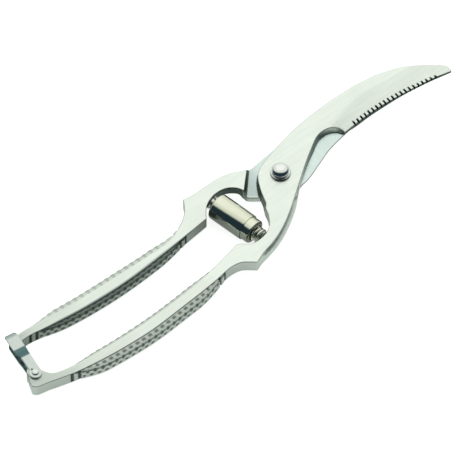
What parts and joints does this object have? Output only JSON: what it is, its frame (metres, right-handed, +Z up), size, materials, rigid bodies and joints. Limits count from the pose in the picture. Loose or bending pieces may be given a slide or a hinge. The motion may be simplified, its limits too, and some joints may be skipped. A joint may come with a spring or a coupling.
{
  "type": "poultry shears",
  "caption": "Spring-opened shears with curved toothed blade, bone notch, lap pivot with domed screw, sleeved coil spring, textured handles and a swinging strap latch.",
  "frame": {"origin": "on the pivot axis, at the pivot screw's flush lower end, which lies in the plane the shears rest on", "axes": "+X from the pivot to the blade tips with the shears closed, +Y to the rear lever's side, +Z up, out of the domed screw head"},
  "size_m": [0.2515, 0.0486, 0.0139],
  "materials": {
    "satin_steel": "satin ground forging",
    "polished_steel": "polished",
    "stamped_steel": "tumbled sheet and bar",
    "spring_steel": "bright drawn wire"
  },
  "bodies": {
    "rear": {"rear_lever": "satin_steel", "rear_spring_peg": "stamped_steel", "pivot_screw": "polished_steel", "pivot_head_washer": "polished_steel", "pivot_spring_washer": "spring_steel", "pivot_rear_washer": "stamped_steel", "pivot_nut": "stamped_steel"},
    "front": {"front_lever": "satin_steel", "front_spring_peg": "stamped_steel", "latch_rivet": "stamped_steel", "latch_washer": "stamped_steel"},
    "latch": {"latch_strap": "stamped_steel"},
    "spring_barrel": {"outer_sleeve": "polished_steel", "compression_spring": "spring_steel"},
    "spring_plunger": {"inner_sleeve": "polished_steel"}
  },
  "joints": [
    {"name": "blade_pivot", "type": "hinge", "parent": "rear", "child": "front", "pos_m": [0, 0, 0.0063], "axis": [0, 0, 1], "range_deg": [0, 22]},
    {"name": "latch_swing", "type": "hinge", "parent": "front", "child": "latch", "pos_m": [-0.1512, -0.0142, 0.0063], "axis": [0, 0, 1], "range_deg": [0, 132]},
    {"name": "spring_swing", "type": "hinge", "parent": "rear", "child": "spring_barrel", "pos_m": [-0.0324, 0.009, 0.0063], "axis": [0, 0, 1], "range_deg": [0, 11]},
    {"name": "sleeve_slide", "type": "slide", "parent": "spring_barrel", "child": "spring_plunger", "axis": [0.1942, -0.981, 0], "range_m": [0, 0.011], "deforming": ["compression_spring"]}
  ],
  "couplings": [
    {"joint": "latch_swing", "follows": "blade_pivot", "ratio": 6},
    {"joint": "spring_swing", "follows": "blade_pivot", "ratio": 0.5},
    {"joint": "sleeve_slide", "follows": "blade_pivot", "m_per_rad": 0.0284}
  ]
}
